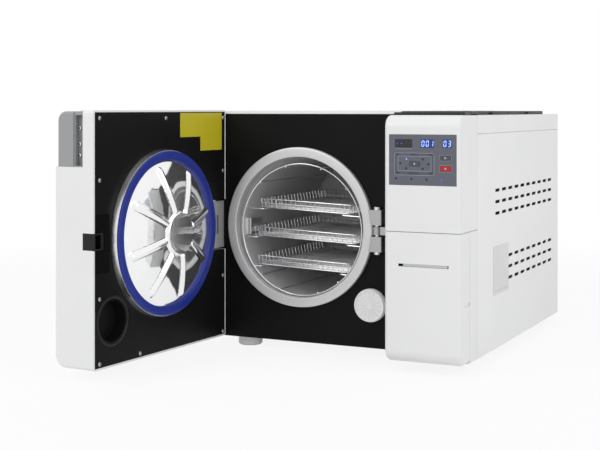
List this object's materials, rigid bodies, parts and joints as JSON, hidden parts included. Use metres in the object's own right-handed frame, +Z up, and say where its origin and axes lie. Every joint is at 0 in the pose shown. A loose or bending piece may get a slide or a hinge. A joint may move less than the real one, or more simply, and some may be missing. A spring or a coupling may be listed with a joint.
{
  "type": "benchtop steam autoclave",
  "caption": "Front-loading benchtop steam autoclave with its door open, wire rack and trays in the chamber, and a control column with displays beside it.",
  "frame": {"origin": "centre of the footprint of the object with its door open, on the surface it stands on", "axes": "+Z up, -Y towards the user in front of the chamber, +X to the user's right"},
  "size_m": [0.5912, 0.9094, 0.43],
  "materials": {
    "white_paint": "satin powder coat",
    "white_plastic": "satin moulded",
    "black_paint": "fine texture",
    "dark_plastic": "matt moulded",
    "grey_plastic": "matt moulded",
    "steel": "brushed",
    "polished_steel": "polished",
    "lid_steel": "polished pressing",
    "seal_blue": "smooth silicone",
    "pale_plastic": "matt moulded",
    "membrane_grey": "printed film",
    "display_black": "clear over black",
    "key_grey": "film",
    "key_red": "film",
    "board_green": "coated board",
    "filter_white": "moulded",
    "foil": "satin",
    "brass": "plain"
  },
  "bodies": {
    "cabinet": {"base_pan": "white_paint", "feet": "pale_plastic", "side_panel_left": "white_paint", "side_panel_right": "white_paint", "front_panel": "black_paint", "rear_panel": "white_paint", "top_cover": "white_paint", "chamber_vessel": "steel", "chamber_flange": "polished_steel", "heater_band": "foil", "insulation_jacket": "grey_plastic", "vessel_saddles": "steel", "probe_guard": "steel", "rack_frame": "polished_steel", "tray_upper": "polished_steel", "tray_middle": "polished_steel", "tray_lower": "polished_steel", "hinge_arm": "steel", "hinge_pin": "steel", "lock_lugs": "steel", "lock_pin": "polished_steel", "air_filter": "filter_white", "control_cover": "white_plastic", "control_panel": "membrane_grey", "display_windows": "display_black", "control_board": "board_green", "service_pins": "steel", "column_chassis": "white_plastic", "drain_taps": "brass", "column_cap": "dark_plastic", "water_tank": "white_plastic", "tank_lid_clean": "dark_plastic", "tank_lid_used": "dark_plastic", "mains_inlet": "dark_plastic", "rocker_pin": "steel", "safety_valve": "brass", "fan_frame": "dark_plastic", "condenser": "foil", "vacuum_pump": "foil", "water_pump": "dark_plastic", "steam_generator": "steel", "valve_block": "brass"},
    "door": {"door_shell": "white_plastic", "door_inner_panel": "black_paint", "door_panel_screws": "polished_steel", "door_beam": "steel", "lid": "lid_steel", "lid_seal": "seal_blue", "latch_striker": "black_paint", "door_handle": "grey_plastic", "handle_screws": "polished_steel"},
    "lock_hook": {"lock_hook": "steel"},
    "key_centre": {"key_centre": "key_grey"},
    "key_start": {"key_start": "key_grey"},
    "key_stop": {"key_stop": "key_red"},
    "service_cover": {"service_cover": "white_plastic", "printer": "dark_plastic"},
    "fan_rotor": {"fan_rotor": "dark_plastic"},
    "rocker_switch": {"rocker_switch": "dark_plastic"}
  },
  "joints": [
    {"name": "door_hinge", "type": "hinge", "parent": "cabinet", "child": "door", "pos_m": [-0.19861, -0.10845, 0.222], "axis": [0, 0, 1], "range_deg": [0, 94.5]},
    {"name": "lock_turn", "type": "hinge", "parent": "cabinet", "child": "lock_hook", "pos_m": [0.11359, -0.08285, 0.222], "axis": [0, 0, -1], "range_deg": [0, 27]},
    {"name": "key_centre_press", "type": "slide", "parent": "cabinet", "child": "key_centre", "axis": [0, 1, 0], "range_m": [0, 0.0006], "stiffness_N_per_m": 400},
    {"name": "key_start_press", "type": "slide", "parent": "cabinet", "child": "key_start", "axis": [0, 1, 0], "range_m": [0, 0.0006], "stiffness_N_per_m": 400},
    {"name": "key_stop_press", "type": "slide", "parent": "cabinet", "child": "key_stop", "axis": [0, 1, 0], "range_m": [0, 0.0006], "stiffness_N_per_m": 400},
    {"name": "service_cover_hinge", "type": "hinge", "parent": "cabinet", "child": "service_cover", "pos_m": [0.17109, -0.17235, 0.12], "axis": [0, 0, -1], "range_deg": [0, 90]},
    {"name": "fan_spin", "type": "hinge", "parent": "cabinet", "child": "fan_rotor", "pos_m": [0.20259, 0.43315, 0.217], "axis": [0, 1, 0], "continuous": true},
    {"name": "power_switch_tilt", "type": "hinge", "parent": "cabinet", "child": "rocker_switch", "pos_m": [-0.15741, 0.44465, 0.1195], "axis": [-1, 0, 0], "range_deg": [0, 16]}
  ]
}
